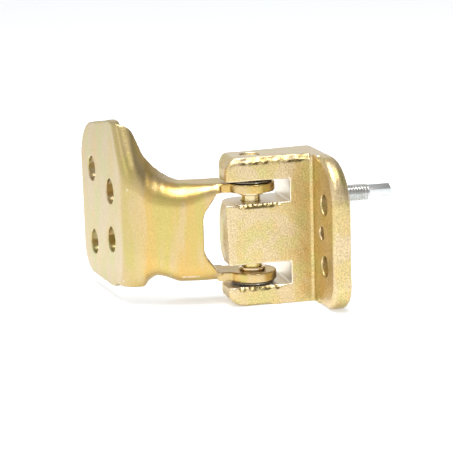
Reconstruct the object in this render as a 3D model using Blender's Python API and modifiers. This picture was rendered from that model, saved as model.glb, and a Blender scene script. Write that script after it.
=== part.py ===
"""Door hinge of a commercial vehicle, yellow-zinc plated.

A pressed door leaf swings on one vertical pin in a forged pillar bracket.
The world frame is the bracket's: +X towards the pillar face, +Y to the back
of the bracket, +Z up. The pin axis is the line X = 0, Y = 0, and Z = 0 is the
bracket's foot. The leaf is modelled unswung, its arm along -X, and hangs from
the empty leaf_swing, which stands on the pin axis. All sizes are in metres.
"""

from math import asin, cos, pi, radians, sin, sqrt, tan

import bmesh
import bpy
from mathutils import Matrix, Vector

# --- Driving dimensions ------------------------------------------------------

# Pillar bracket: a thick web with three knuckles, and a flange at its right end
BRACKET_HEIGHT = 0.0646
WEB_THICKNESS = 0.020
BACK_TAPER = 0.005             # the back stands further out at the flange than at the knuckles
WEB_LEFT = 0.0132              # pin axis to the left end of the knuckles
WEB_TO_FLANGE = 0.025          # pin axis to the flange's inner face
FLANGE_THICKNESS = 0.0084
FLANGE_FORWARD = 0.0272        # flange standing out in front of the web
FLANGE_TOP_RADIUS = 0.020
FLANGE_FOOT_RADIUS = 0.012
KNUCKLE_BACK_RADIUS = 0.0098
KNUCKLE_FRONT_RADIUS = 0.0012
KNUCKLE_TOP_RADIUS = 0.004
KNUCKLE_FOOT_RADIUS = 0.0075
TOP_CHAMFER = 0.0022
FOLD_RADIUS = 0.0015
OUTER_CORNER_RADIUS = 0.003
MIDDLE_KNUCKLE = 0.026         # height of the middle knuckle
MIDDLE_KNUCKLE_FOOT = 0.0186   # its underside above the bracket's foot
SLOT_HEIGHT = 0.010            # each slot beside the middle knuckle
SLOT_DEPTH_PAST_PIN = 0.0147   # pin axis to the closed end of a slot

# Flange holes, measured from the web's front face and the bracket's foot
BOLT_HOLE = 0.009
BOLT_HOLE_FORWARD = 0.0146
BOLT_HOLE_HEIGHTS = (0.0183, 0.0449)
SETTING_HOLE = 0.006
SETTING_HOLE_FORWARD = 0.0110
SETTING_HOLE_HEIGHT = 0.0320

# Hinge pin and what turns on it
PIN_DIAMETER = 0.0082
PIN_TOP_RECESS = 0.0005        # its foot is flush with the bracket's
BUSH_WALL = 0.00075
BUSH_FLANGE_RIM = 0.00065      # bush flange standing out past its barrel
BUSH_FLANGE_THICKNESS = 0.0012
WASHER_DIAMETER = 0.019
WASHER_THICKNESS = 0.0008
GAP = 0.0003                   # clearance between pieces that touch

# Mounting stud in the flange, level with the web's middle
STUD_DIAMETER = 0.008
STUD_HEIGHT = 0.0440
STUD_IN_BRACKET = 0.015
STUD_THREAD_OUT = 0.0197
STUD_HEX_LENGTH = 0.0100
STUD_HEX_ACROSS_FLATS = 0.006

# Door leaf: one sheet, bent round the door's edge and folded into a channel
SHEET = 0.0041
EAR_THICKNESS = 0.0039
EAR_RADIUS = 0.0105
EAR_FROM_SLOT_WALL = 0.0017    # ear to the outer wall of its slot
EAR_NECK_FRONT = 0.0055
ARM_FRONT = 0.0095             # pin axis to the arm's front face
ARM_DEPTH = 0.0185             # front face to the back edges of the channel
ARM_TOP_FOLD_RADIUS = 0.006
ARM_FOOT_FOLD_RADIUS = 0.0085
ARM_END = 0.013                # pin axis to the end of the folded channel
ARM_KINK = 0.041               # pin axis to where the arm starts to turn back
ARM_KINK_ANGLE = radians(10)
ARM_LENGTH = 0.0542            # pin axis to the plate's corner, along the arm
KINK_RADIUS = 0.020
CORNER_RADIUS = 0.008
PLATE_ANGLE = radians(19)      # plate, off square to the arm
PLATE_DEPTH = 0.0624           # plate's corner to its back edge
PLATE_TOP_FRONT = 0.0803
PLATE_TOP_BACK = 0.0718
PLATE_TOP_ARCH = 1.6           # 1 falls evenly to the back; more keeps the front level
PLATE_FOOT = 0.0081            # at the front
PLATE_FOOT_BACK = 0.0055
PLATE_FOOT_RUN = 0.026         # plate's corner to where its foot is as low as at the back
PLATE_TOP_RADIUS = 0.016
PLATE_FOOT_RADIUS = 0.013
WEB_NOTCH_DEPTH = 0.0056       # hollow end of the arm, round the middle knuckle
WEB_NOTCH_MOUTH_HEIGHT = 0.033
WEB_NOTCH_FLOOR_HEIGHT = 0.017
WEB_NOTCH_RADIUS = 0.008
WEB_NOTCH_MOUTH = 0.015        # pin axis to the hollow's mouth

# Plate holes, measured back from the plate's corner; half of each pair's spacing
PLATE_HOLE = 0.011
PLATE_HOLES_HEIGHT = 0.0375
PLATE_HOLE_PAIRS = ((0.0200, 0.0107), (0.0464, 0.0167))

# Rest position of the leaf about the pin, seen from above, clockwise negative
REST_SWING = radians(-13)

# --- What follows from them --------------------------------------------------

WEB_FRONT = WEB_THICKNESS / 2
MIDDLE_KNUCKLE_TOP = MIDDLE_KNUCKLE_FOOT + MIDDLE_KNUCKLE
UPPER_SLOT_TOP = MIDDLE_KNUCKLE_TOP + SLOT_HEIGHT
LOWER_SLOT_FOOT = MIDDLE_KNUCKLE_FOOT - SLOT_HEIGHT
FLANGE_OUTER = WEB_TO_FLANGE + FLANGE_THICKNESS
FLANGE_FRONT = WEB_FRONT + FLANGE_FORWARD
UPPER_EAR_TOP = UPPER_SLOT_TOP - EAR_FROM_SLOT_WALL
LOWER_EAR_FOOT = LOWER_SLOT_FOOT + EAR_FROM_SLOT_WALL
FACED_OFF = (SHEET - EAR_THICKNESS) / 2
ARM_TOP = UPPER_EAR_TOP + FACED_OFF
ARM_FOOT = LOWER_EAR_FOOT - FACED_OFF
ARM_MIDDLE = (ARM_TOP + ARM_FOOT) / 2
PIN_BORE = PIN_DIAMETER + 2 * GAP
BUSH_BARREL = PIN_BORE + 2 * BUSH_WALL
BUSH_FLANGE = BUSH_BARREL + 2 * BUSH_FLANGE_RIM
EAR_BORE = BUSH_BARREL + 2 * GAP
THROUGH = 0.012                # how far a cutter reaches past what it cuts
ROUND_SIDES = 40

# The folds and free edges along the leaf. Each station: distance from the plate's
# corner towards the pin, fold above the arm's own, share of the arm's depth, free
# edge as a share of the way from the arm's edge to the plate's.
UPPER_FOLD = (
    (-0.010, 0.0045, 0.57, None),
    (0.0020, 0.0042, 0.59, 0.975),
    (0.0046, 0.0036, 0.62, 0.900),
    (0.0056, 0.0032, 0.64, 0.740),
    (0.0070, 0.0028, 0.66, 0.540),
    (0.0096, 0.0020, 0.73, 0.390),
    (0.0136, 0.0012, 0.84, 0.220),
    (0.0185, 0.0004, 0.95, 0.070),
    (0.0225, 0.0, 1.0, 0.0),
)
LOWER_FOLD = (
    (-0.010, 0.0078, 0.27, None),
    (0.0020, 0.0073, 0.30, 1.0),
    (0.0075, 0.0063, 0.32, 0.90),
    (0.0088, 0.0053, 0.43, -0.14),
    (0.0125, 0.0043, 0.59, -1.10),
    (0.0165, 0.0028, 0.86, -0.86),
    (0.0220, 0.0, 1.0, 0.0),
)


# --- Materials ---------------------------------------------------------------

def metal(name, colour, roughness):
    """A plated metal finish."""
    material = bpy.data.materials.new(name)
    material.use_nodes = True
    shader = material.node_tree.nodes["Principled BSDF"]
    shader.inputs["Base Color"].default_value = (*colour, 1.0)
    shader.inputs["Metallic"].default_value = 1.0
    shader.inputs["Roughness"].default_value = roughness
    return material


# --- Modelling helpers -------------------------------------------------------

def collect(thing, collection):
    """Move an object into one collection only."""
    for old in thing.users_collection:
        old.objects.unlink(thing)
    collection.objects.link(thing)
    return thing


def arc(centre, radius, start, end, steps=8):
    """Points on an arc, both ends included; angles in radians."""
    points = []
    for step in range(steps + 1):
        angle = start + (end - start) * step / steps
        points.append((centre[0] + radius * cos(angle), centre[1] + radius * sin(angle)))
    return points


def rounded(corners, steps=6):
    """Outline through corners (x, y, radius), each rounded by its radius."""
    points = []
    count = len(corners)
    for index, (x, y, radius) in enumerate(corners):
        corner = Vector((x, y))
        if radius == 0:
            points.append((x, y))
            continue
        before = (Vector(corners[index - 1][:2]) - corner).normalized()
        after = (Vector(corners[(index + 1) % count][:2]) - corner).normalized()
        half = before.angle(after) / 2
        centre = corner + (before + after).normalized() * radius / sin(half)
        start = corner + before * radius / tan(half) - centre
        end = corner + after * radius / tan(half) - centre
        turn = start.angle_signed(end)
        for step in range(steps + 1):
            offset = Vector(start)
            offset.rotate(Matrix.Rotation(-turn * step / steps, 2))
            points.append(tuple(centre + offset))
    return points


def slab(name, outlines, depth, place, collection):
    """A flat outline, holes after the rim, given a thickness and set in place."""
    curve = bpy.data.curves.new(name, "CURVE")
    curve.dimensions = "2D"
    curve.fill_mode = "BOTH"
    curve.extrude = depth / 2
    for outline in outlines:
        spline = curve.splines.new("POLY")
        spline.points.add(len(outline) - 1)
        for point, (x, y) in zip(spline.points, outline):
            point.co = (x, y, 0, 1)
        spline.use_cyclic_u = True
    drawn = bpy.data.objects.new(name + "_outline", curve)
    collection.objects.link(drawn)
    drawn.matrix_world = place
    bpy.context.view_layer.update()
    evaluated = drawn.evaluated_get(bpy.context.evaluated_depsgraph_get())
    mesh = bpy.data.meshes.new_from_object(evaluated)
    shape = bmesh.new()
    shape.from_mesh(mesh)
    bmesh.ops.remove_doubles(shape, verts=shape.verts, dist=1e-6)
    bmesh.ops.recalc_face_normals(shape, faces=shape.faces)
    shape.to_mesh(mesh)
    shape.free()
    solid = bpy.data.objects.new(name, mesh)
    solid.matrix_world = drawn.matrix_world
    collection.objects.link(solid)
    bpy.data.objects.remove(drawn)
    return solid


def rod(name, diameter, start, end, collection, sides=ROUND_SIDES):
    """A solid cylinder between two points."""
    axis = Vector(end) - Vector(start)
    bpy.ops.mesh.primitive_cylinder_add(vertices=sides, radius=diameter / 2, depth=axis.length)
    solid = bpy.context.object
    solid.name = name
    solid.location = (Vector(start) + Vector(end)) / 2
    solid.rotation_euler = axis.to_track_quat("Z", "Y").to_euler()
    return collect(solid, collection)


def box(name, low, high, collection):
    """A block between two corners."""
    bpy.ops.mesh.primitive_cube_add(size=1)
    solid = bpy.context.object
    solid.name = name
    solid.location = (Vector(low) + Vector(high)) / 2
    solid.scale = Vector(high) - Vector(low)
    return collect(solid, collection)


def turned(name, profile, collection):
    """A ring turned about Z: profile (radius, height), closed, outer side downwards first."""
    mesh = bpy.data.meshes.new(name)
    shape = bmesh.new()
    verts = [shape.verts.new((radius, 0, height)) for radius, height in profile]
    for index, vert in enumerate(verts):
        shape.edges.new((vert, verts[(index + 1) % len(verts)]))
    shape.to_mesh(mesh)
    shape.free()
    solid = bpy.data.objects.new(name, mesh)
    collection.objects.link(solid)
    screw = solid.modifiers.new("Turn", "SCREW")
    screw.axis = "Z"
    screw.steps = ROUND_SIDES
    screw.render_steps = ROUND_SIDES
    screw.use_merge_vertices = True
    screw.merge_threshold = 0.00001
    return solid


def boolean(target, tool, operation):
    """Cut, join or keep what two solids share; the tool stays as a hidden guide."""
    modifier = target.modifiers.new(tool.name, "BOOLEAN")
    modifier.operation = operation
    modifier.solver = "EXACT"
    modifier.object = tool
    tool.display_type = "WIRE"
    tool.hide_render = True


def finish(solid, material, parent=None):
    """Give a piece its material and its parent."""
    solid.data.materials.clear()
    solid.data.materials.append(material)
    solid.data.shade_smooth()
    solid.data.set_sharp_from_angle(angle=radians(35))
    if parent is not None:
        solid.parent = parent


# --- Pillar bracket ----------------------------------------------------------

def side_view():
    """Turns an outline drawn in (Y, Z) into the plane X = 0, its depth along X."""
    return Matrix(((0, 0, 1, 0), (1, 0, 0, 0), (0, 1, 0, 0), (0, 0, 0, 1)))


def front_view():
    """Turns an outline drawn in (X, Z) into the plane Y = 0, its depth along Y."""
    return Matrix(((1, 0, 0, 0), (0, 0, -1, 0), (0, 1, 0, 0), (0, 0, 0, 1)))


def make_bracket(parts, cutters, steel):
    """The forged L: plan outline, trimmed to its side and front views, then machined."""
    plan = rounded((
        (-WEB_LEFT, -WEB_FRONT, KNUCKLE_FRONT_RADIUS),
        (WEB_TO_FLANGE, -WEB_FRONT, FOLD_RADIUS),
        (WEB_TO_FLANGE, -FLANGE_FRONT, OUTER_CORNER_RADIUS / 3),
        (FLANGE_OUTER, -FLANGE_FRONT, OUTER_CORNER_RADIUS / 3),
        (FLANGE_OUTER, WEB_FRONT + BACK_TAPER, OUTER_CORNER_RADIUS),
        (-WEB_LEFT, WEB_FRONT, KNUCKLE_BACK_RADIUS),
    ))
    up = Matrix.Translation((0, 0, BRACKET_HEIGHT / 2))
    bracket = slab("pillar_bracket", [plan], BRACKET_HEIGHT, up, parts)

    side = rounded((
        (-FLANGE_FRONT, 0, FLANGE_FOOT_RADIUS),
        (WEB_FRONT + BACK_TAPER + THROUGH, 0, 0),
        (WEB_FRONT + BACK_TAPER + THROUGH, BRACKET_HEIGHT, 0),
        (-FLANGE_FRONT, BRACKET_HEIGHT, FLANGE_TOP_RADIUS),
    ), steps=10)
    side_form = slab("side_form", [side], 2 * FLANGE_OUTER + THROUGH, side_view(), cutters)
    boolean(bracket, side_form, "INTERSECT")

    front = rounded((
        (-WEB_LEFT, 0, KNUCKLE_FOOT_RADIUS),
        (FLANGE_OUTER + THROUGH, 0, 0),
        (FLANGE_OUTER + THROUGH, BRACKET_HEIGHT, 0),
        (-WEB_LEFT, BRACKET_HEIGHT, KNUCKLE_TOP_RADIUS),
    ))
    front_form = slab("front_form", [front], 2 * FLANGE_FRONT + THROUGH, front_view(), cutters)
    boolean(bracket, front_form, "INTERSECT")

    chamfer = [
        (-WEB_FRONT - THROUGH, BRACKET_HEIGHT + THROUGH),
        (-WEB_FRONT - THROUGH, BRACKET_HEIGHT - TOP_CHAMFER - THROUGH),
        (-WEB_FRONT + TOP_CHAMFER + THROUGH, BRACKET_HEIGHT + THROUGH),
    ]
    chamfer_width = WEB_LEFT + THROUGH + WEB_TO_FLANGE
    chamfer_place = Matrix.Translation((WEB_TO_FLANGE - chamfer_width / 2, 0, 0)) @ side_view()
    boolean(bracket, slab("top_chamfer", [chamfer], chamfer_width, chamfer_place, cutters), "DIFFERENCE")

    for name, foot in (("lower_slot", LOWER_SLOT_FOOT), ("upper_slot", MIDDLE_KNUCKLE_TOP)):
        low = (-WEB_LEFT - THROUGH, -WEB_FRONT - THROUGH, foot)
        high = (SLOT_DEPTH_PAST_PIN, WEB_FRONT + BACK_TAPER + THROUGH, foot + SLOT_HEIGHT)
        boolean(bracket, box(name, low, high, cutters), "DIFFERENCE")

    pin_bore = rod("pin_bore", PIN_BORE, (0, 0, -THROUGH), (0, 0, BRACKET_HEIGHT + THROUGH), cutters)
    boolean(bracket, pin_bore, "DIFFERENCE")

    holes = [(BOLT_HOLE, BOLT_HOLE_FORWARD, height) for height in BOLT_HOLE_HEIGHTS]
    holes.append((SETTING_HOLE, SETTING_HOLE_FORWARD, SETTING_HOLE_HEIGHT))
    for number, (diameter, forward, height) in enumerate(holes, 1):
        y = -WEB_FRONT - forward
        start = (WEB_TO_FLANGE - THROUGH, y, height)
        end = (FLANGE_OUTER + THROUGH, y, height)
        boolean(bracket, rod(f"flange_hole_{number}", diameter, start, end, cutters), "DIFFERENCE")

    stud_start = (FLANGE_OUTER - STUD_IN_BRACKET - GAP, 0, STUD_HEIGHT)
    stud_end = (FLANGE_OUTER + THROUGH, 0, STUD_HEIGHT)
    stud_bore = rod("stud_bore", STUD_DIAMETER + 2 * GAP, stud_start, stud_end, cutters)
    boolean(bracket, stud_bore, "DIFFERENCE")
    finish(bracket, steel)


# --- Pin, bushes, washers and stud -------------------------------------------

def make_pin(parts, steel):
    """One straight pin through all three knuckles, a little short at its top."""
    end = (0, 0, BRACKET_HEIGHT - PIN_TOP_RECESS)
    finish(rod("hinge_pin", PIN_DIAMETER, (0, 0, 0), end, parts), steel)


def make_bush(name, ear_inner, ear_outer, parts, bronze, parent):
    """A flanged bush pressed into an ear, its flange on the side of the middle knuckle."""
    outward = 1 if ear_outer > ear_inner else -1
    seat = ear_inner - outward * GAP
    face = seat - outward * BUSH_FLANGE_THICKNESS
    profile = [
        (BUSH_BARREL / 2, ear_outer),
        (BUSH_BARREL / 2, seat),
        (BUSH_FLANGE / 2, seat),
        (BUSH_FLANGE / 2, face),
        (PIN_BORE / 2, face),
        (PIN_BORE / 2, ear_outer),
    ]
    if outward < 0:
        profile.reverse()
    finish(turned(name, profile, parts), bronze, parent)


def make_washer(name, foot, parts, steel, parent):
    """A thin thrust washer between an ear and the outer wall of its slot."""
    top = foot + WASHER_THICKNESS
    outer = WASHER_DIAMETER / 2
    inner = PIN_BORE / 2
    profile = [(outer, top), (outer, foot), (inner, foot), (inner, top)]
    finish(turned(name, profile, parts), steel, parent)


def make_stud(parts, cutters, zinc):
    """A threaded stud standing out of the flange, its outer end drawn down to a hexagon."""
    start = FLANGE_OUTER - STUD_IN_BRACKET
    shoulder = FLANGE_OUTER + STUD_THREAD_OUT
    end = shoulder + STUD_HEX_LENGTH
    stud = rod("mounting_stud", STUD_DIAMETER, (start, 0, STUD_HEIGHT), (shoulder, 0, STUD_HEIGHT), parts)
    across_corners = STUD_HEX_ACROSS_FLATS / cos(pi / 6)
    root = (shoulder - STUD_DIAMETER / 2, 0, STUD_HEIGHT)
    hexagon = rod("stud_hexagon", across_corners, root, (end, 0, STUD_HEIGHT), cutters, sides=6)
    boolean(stud, hexagon, "UNION")
    finish(stud, zinc)


# --- Door leaf ---------------------------------------------------------------

def smooth_step(value):
    """Eases 0 to 1."""
    value = min(max(value, 0.0), 1.0)
    return value * value * (3 - 2 * value)


PLATE_BACKWARD = Vector((-sin(PLATE_ANGLE), cos(PLATE_ANGLE)))
KINK_POINT = Vector((-ARM_KINK, -ARM_FRONT))
CORNER_POINT = Vector((-ARM_LENGTH, -ARM_FRONT + (ARM_LENGTH - ARM_KINK) * tan(ARM_KINK_ANGLE)))


def plan_path():
    """The leaf's outer surface seen from above: (distance from the corner, point) in order."""
    back_edge = CORNER_POINT + PLATE_BACKWARD * PLATE_DEPTH
    arm_end = Vector((-ARM_END, -ARM_FRONT))
    oblique = (KINK_POINT - CORNER_POINT).normalized()
    path = []

    corner_reach = fillet_length(PLATE_BACKWARD, oblique, CORNER_RADIUS)
    corner = round_corner(CORNER_POINT, PLATE_BACKWARD, oblique, corner_reach, 6)
    kink_reach = fillet_length(-oblique, Vector((1, 0)), KINK_RADIUS)
    kink = round_corner(KINK_POINT, -oblique, Vector((1, 0)), kink_reach, 2)
    for step in range(10):
        path.append(back_edge.lerp(corner[0], 1 - cos(step / 10 * pi / 2)))
    path.extend(corner)
    path.extend(corner[-1].lerp(kink[0], step / 6) for step in range(1, 6))
    path.extend(kink)
    path.extend(kink[-1].lerp(arm_end, step / 8) for step in range(1, 9))

    distances = [0.0]
    for before, after in zip(path, path[1:]):
        distances.append(distances[-1] + (after - before).length)
    nearest = min(range(len(path)), key=lambda index: (path[index] - CORNER_POINT).length)
    return [(distance - distances[nearest], point) for distance, point in zip(distances, path)]


def fillet_length(to_before, to_after, radius):
    """How far from a corner its rounding starts."""
    return radius / tan(to_before.angle(to_after) / 2)


def round_corner(corner, to_before, to_after, reach, steps):
    """Points of the arc that leaves both straight runs at one reach from their corner."""
    start = corner + to_before * reach
    end = corner + to_after * reach
    weight = sin(to_before.angle(to_after) / 2)
    points = []
    for step in range(steps + 1):
        share = step / steps
        pull = 2 * weight * share * (1 - share)
        total = (1 - share) ** 2 + pull + share ** 2
        points.append((start * (1 - share) ** 2 + corner * pull + end * share ** 2) / total)
    return points


def plate_edge(distance, upper):
    """Height of the plate's free edge, its back corner rounded."""
    if upper:
        fallen = (-distance / PLATE_DEPTH) ** PLATE_TOP_ARCH
        level = PLATE_TOP_FRONT + (PLATE_TOP_BACK - PLATE_TOP_FRONT) * fallen
        radius = PLATE_TOP_RADIUS
    else:
        level = PLATE_FOOT + (PLATE_FOOT_BACK - PLATE_FOOT) * smooth_step(-distance / PLATE_FOOT_RUN)
        radius = PLATE_FOOT_RADIUS
    past = -distance - (PLATE_DEPTH - radius)
    drop = radius - sqrt(max(radius * radius - past * past, 0.0)) if past > 0 else 0.0
    return level - drop if upper else level + drop


def station_values(station, upper):
    """Fold height, edge depth and edge height that a station stands for."""
    distance, fold_lift, depth_share, height_share = station
    arm_edge, plate_level = (ARM_TOP, PLATE_TOP_FRONT) if upper else (ARM_FOOT, PLATE_FOOT)
    depth = ARM_DEPTH * depth_share
    if height_share is None:
        height = plate_edge(distance - depth, upper)
    else:
        height = arm_edge + (plate_level - arm_edge) * height_share
    return Vector((arm_edge + fold_lift, depth, height))


def fold_at(distance, stations, upper):
    """Fold height, edge depth and edge height at a distance from the plate's corner."""
    first = stations[0]
    if distance <= first[0]:
        share = (distance + PLATE_DEPTH) / (first[0] + PLATE_DEPTH)
        fold_start, depth_start, _ = station_values(first, upper)
        fold = PLATE_HOLES_HEIGHT + (fold_start - PLATE_HOLES_HEIGHT) * (1 + share) / 2
        return fold, depth_start * share, plate_edge(distance - depth_start * share, upper)
    for before, after in zip(stations, stations[1:]):
        if distance <= after[0]:
            share = (distance - before[0]) / (after[0] - before[0])
            return tuple(station_values(before, upper).lerp(station_values(after, upper), share))
    return tuple(station_values(stations[-1], upper))


def half_section(fold, depth, height, sign, flat_steps=4, bend_steps=5):
    """Points (depth, height) from a fold's straight side round the fold to the free edge."""
    corner = Vector((0, fold))
    edge = Vector((depth, height))
    to_edge = (edge - corner).normalized()
    fold_radius = ARM_TOP_FOLD_RADIUS if sign > 0 else ARM_FOOT_FOLD_RADIUS
    reach = min(fold_radius, 0.9 * (edge - corner).length)
    points = round_corner(corner, Vector((0, -sign)), to_edge, reach, bend_steps)
    last = points[-1]
    points.extend(last.lerp(edge, step / flat_steps) for step in range(1, flat_steps + 1))
    return points


def section(distance, web_steps=5):
    """The whole section, from the lower free edge to the upper one."""
    upper = half_section(*fold_at(distance, UPPER_FOLD, True), 1)
    lower = half_section(*fold_at(distance, LOWER_FOLD, False), -1)
    web = [lower[0].lerp(upper[0], step / web_steps) for step in range(1, web_steps)]
    return lower[::-1] + web + upper


def make_leaf_shell(parts):
    """The pressed sheet as a loft along the plan path, thickened inwards."""
    path = plan_path()
    sections = [section(distance) for distance, _ in path]
    rows = len(path)
    columns = len(sections[0])
    shape = bmesh.new()
    bmesh.ops.create_grid(shape, x_segments=rows - 1, y_segments=columns - 1, size=1.0)
    for vert in shape.verts:
        row = round((vert.co.x + 1) / 2 * (rows - 1))
        column = round((vert.co.y + 1) / 2 * (columns - 1))
        distance, point = path[row]
        depth, height = sections[row][column]
        turn = smooth_step(distance / 0.008)
        backward = PLATE_BACKWARD.lerp(Vector((0, 1)), turn).normalized()
        place = point + backward * depth
        vert.co = (place.x, place.y, height)
    mesh = bpy.data.meshes.new("door_leaf")
    shape.to_mesh(mesh)
    shape.free()
    leaf = bpy.data.objects.new("door_leaf", mesh)
    parts.objects.link(leaf)
    thick = leaf.modifiers.new("Sheet", "SOLIDIFY")
    thick.thickness = SHEET
    thick.offset = -1
    return leaf


def ear_outline():
    """Disc round the pin with its neck reaching back into the channel."""
    neck_back = ARM_DEPTH - ARM_FRONT
    root = -ARM_END - SHEET / 2
    front_angle = pi + asin(EAR_NECK_FRONT / EAR_RADIUS)
    back_angle = pi - asin(neck_back / EAR_RADIUS) + 2 * pi
    disc = arc((0, 0), EAR_RADIUS, front_angle, back_angle, steps=ROUND_SIDES - 8)
    return disc + [(root, neck_back - FACED_OFF), (root, -EAR_NECK_FRONT)]


def make_leaf(parts, cutters, steel, swing):
    """The shell with its two ears, the hollow arm end, the pin bores and the bolt holes."""
    leaf = make_leaf_shell(parts)
    for name, foot in (("lower_ear", LOWER_EAR_FOOT), ("upper_ear", UPPER_EAR_TOP - EAR_THICKNESS)):
        middle = Matrix.Translation((0, 0, foot + EAR_THICKNESS / 2))
        ear = slab(name, [ear_outline()], EAR_THICKNESS, middle, cutters)
        ear.parent = swing
        boolean(leaf, ear, "UNION")

    floor = -WEB_NOTCH_MOUTH - WEB_NOTCH_DEPTH
    ear_gap_foot = LOWER_EAR_FOOT + EAR_THICKNESS
    ear_gap_top = UPPER_EAR_TOP - EAR_THICKNESS
    hollow = rounded((
        (-WEB_NOTCH_MOUTH, ARM_MIDDLE + WEB_NOTCH_MOUTH_HEIGHT / 2, WEB_NOTCH_RADIUS / 4),
        (floor, ARM_MIDDLE + WEB_NOTCH_FLOOR_HEIGHT / 2, WEB_NOTCH_RADIUS),
        (floor, ARM_MIDDLE - WEB_NOTCH_FLOOR_HEIGHT / 2, WEB_NOTCH_RADIUS),
        (-WEB_NOTCH_MOUTH, ARM_MIDDLE - WEB_NOTCH_MOUTH_HEIGHT / 2, WEB_NOTCH_RADIUS / 4),
        (-WEB_NOTCH_MOUTH, ear_gap_foot, 0),
        (EAR_RADIUS, ear_gap_foot, 0),
        (EAR_RADIUS, ear_gap_top, 0),
        (-WEB_NOTCH_MOUTH, ear_gap_top, 0),
    ))
    arm_end = slab("arm_end", [hollow], 2 * ARM_DEPTH + THROUGH, front_view(), cutters)
    arm_end.parent = swing
    boolean(leaf, arm_end, "DIFFERENCE")

    bore = rod("ear_bore", EAR_BORE, (0, 0, 0), (0, 0, BRACKET_HEIGHT), cutters)
    bore.parent = swing
    boolean(leaf, bore, "DIFFERENCE")

    outward = Vector((-cos(PLATE_ANGLE), -sin(PLATE_ANGLE)))
    number = 0
    for back, half_spacing in PLATE_HOLE_PAIRS:
        for side in (-1, 1):
            number += 1
            place = CORNER_POINT + PLATE_BACKWARD * back
            height = PLATE_HOLES_HEIGHT + side * half_spacing
            start = place + outward * THROUGH
            end = place - outward * THROUGH
            hole = rod(f"plate_hole_{number}", PLATE_HOLE, (*start, height), (*end, height), cutters)
            hole.parent = swing
            boolean(leaf, hole, "DIFFERENCE")
    finish(leaf, steel, swing)


# --- The hinge ---------------------------------------------------------------

def main():
    for old in list(bpy.data.objects):
        bpy.data.objects.remove(old)
    parts = bpy.data.collections.new("door_hinge")
    cutters = bpy.data.collections.new("cutters")
    for collection in (parts, cutters):
        bpy.context.scene.collection.children.link(collection)

    leaf_steel = metal("leaf_yellow_zinc", (0.74, 0.54, 0.21), 0.32)
    bracket_steel = metal("bracket_yellow_zinc", (0.70, 0.54, 0.24), 0.40)
    bright_zinc = metal("bright_zinc", (0.72, 0.71, 0.68), 0.28)
    bronze = metal("bush_bronze", (0.80, 0.62, 0.34), 0.25)
    washer_steel = metal("washer_steel", (0.45, 0.40, 0.33), 0.35)

    swing = bpy.data.objects.new("leaf_swing", None)
    swing.rotation_euler.z = REST_SWING
    parts.objects.link(swing)

    make_bracket(parts, cutters, bracket_steel)
    make_pin(parts, bright_zinc)
    make_stud(parts, cutters, bright_zinc)
    make_leaf(parts, cutters, leaf_steel, swing)
    make_bush("upper_bush", UPPER_EAR_TOP - EAR_THICKNESS, UPPER_EAR_TOP, parts, bronze, swing)
    make_bush("lower_bush", LOWER_EAR_FOOT + EAR_THICKNESS, LOWER_EAR_FOOT, parts, bronze, swing)
    make_washer("upper_washer", UPPER_EAR_TOP + GAP, parts, washer_steel, swing)
    make_washer("lower_washer", LOWER_EAR_FOOT - GAP - WASHER_THICKNESS, parts, washer_steel, swing)


main()
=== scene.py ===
"""A yellow-zinc vehicle door hinge: pressed door leaf, pin and forged pillar bracket.

The hinge is put together in the order in which it is made: the forged bracket,
the pin, bushes and washers on it, the pressed leaf that swings on them, and the
threaded stud. Sizes are in millimetres and are turned to metres where a mesh is
finished.
"""

from math import asin, cos, pi, radians, sin, sqrt, tan

import bmesh
import bpy
import numpy as np
from mathutils import Matrix, Vector


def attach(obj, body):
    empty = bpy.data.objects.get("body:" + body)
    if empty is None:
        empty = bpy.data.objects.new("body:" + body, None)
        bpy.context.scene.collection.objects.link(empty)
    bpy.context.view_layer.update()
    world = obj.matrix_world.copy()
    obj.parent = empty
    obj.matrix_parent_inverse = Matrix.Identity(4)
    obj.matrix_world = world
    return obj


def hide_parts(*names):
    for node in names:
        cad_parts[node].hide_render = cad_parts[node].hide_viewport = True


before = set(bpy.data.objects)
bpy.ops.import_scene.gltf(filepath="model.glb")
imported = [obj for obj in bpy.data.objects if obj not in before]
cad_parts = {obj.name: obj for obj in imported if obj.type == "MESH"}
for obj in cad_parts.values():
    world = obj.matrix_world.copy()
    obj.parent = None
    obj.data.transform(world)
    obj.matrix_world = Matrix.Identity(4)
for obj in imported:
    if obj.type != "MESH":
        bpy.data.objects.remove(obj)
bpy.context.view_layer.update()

# --- Pillar bracket ----------------------------------------------------------
# One steel forging, an L seen from above: a 20 mm web that ends in three
# knuckles, and a flange that bolts to the pillar. Its corners are the die's
# soft ones; the slots, bores and holes are machined and keep crisp edges.

MM = 0.001
HEIGHT = 64.6
WEB_LEFT, WEB_FRONT, FLANGE_INNER, FLANGE_OUTER, FLANGE_FRONT = -13.2, -10.0, 25.0, 33.4, -37.2
BACK, BACK_TAPER, TAPER_START = 10.0, 5.0, -3.4
SLOTS, SLOT_END = ((8.6, 18.6), (44.6, 54.6)), 14.7
END_TOP_RADIUS, END_FOOT_RADIUS, END_BACK_RADIUS = 6.0, 7.5, 9.4
RIM_TOP_RADIUS, RIM_FOOT_RADIUS = 20.0, 12.0
TRIM, TEAR_UNDER_TOP, TEAR_UNDER_SLOT = 2.4, 2.5, 1.3
PIN_BORE_RADIUS = 4.4
# Radius, and place in Y and Z, of the two bolt holes and the setting hole
FLANGE_HOLES = ((4.5, -24.6, 18.3), (4.5, -24.6, 44.9), (3.05, -21.0, 32.0))
STUD_LEVEL, STUD_HOLE_RADIUS, STUD_HOLE_FLOOR = 44.0, 4.3, 18.1
BRACKET_CELL = 0.45


def rounded_meet(a, b, radius):
    """What two shapes share, the edge between them rounded."""
    corner = np.hypot(np.maximum(a + radius, 0), np.maximum(b + radius, 0))
    return np.minimum(-radius, np.maximum(a, b)) + corner


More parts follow.
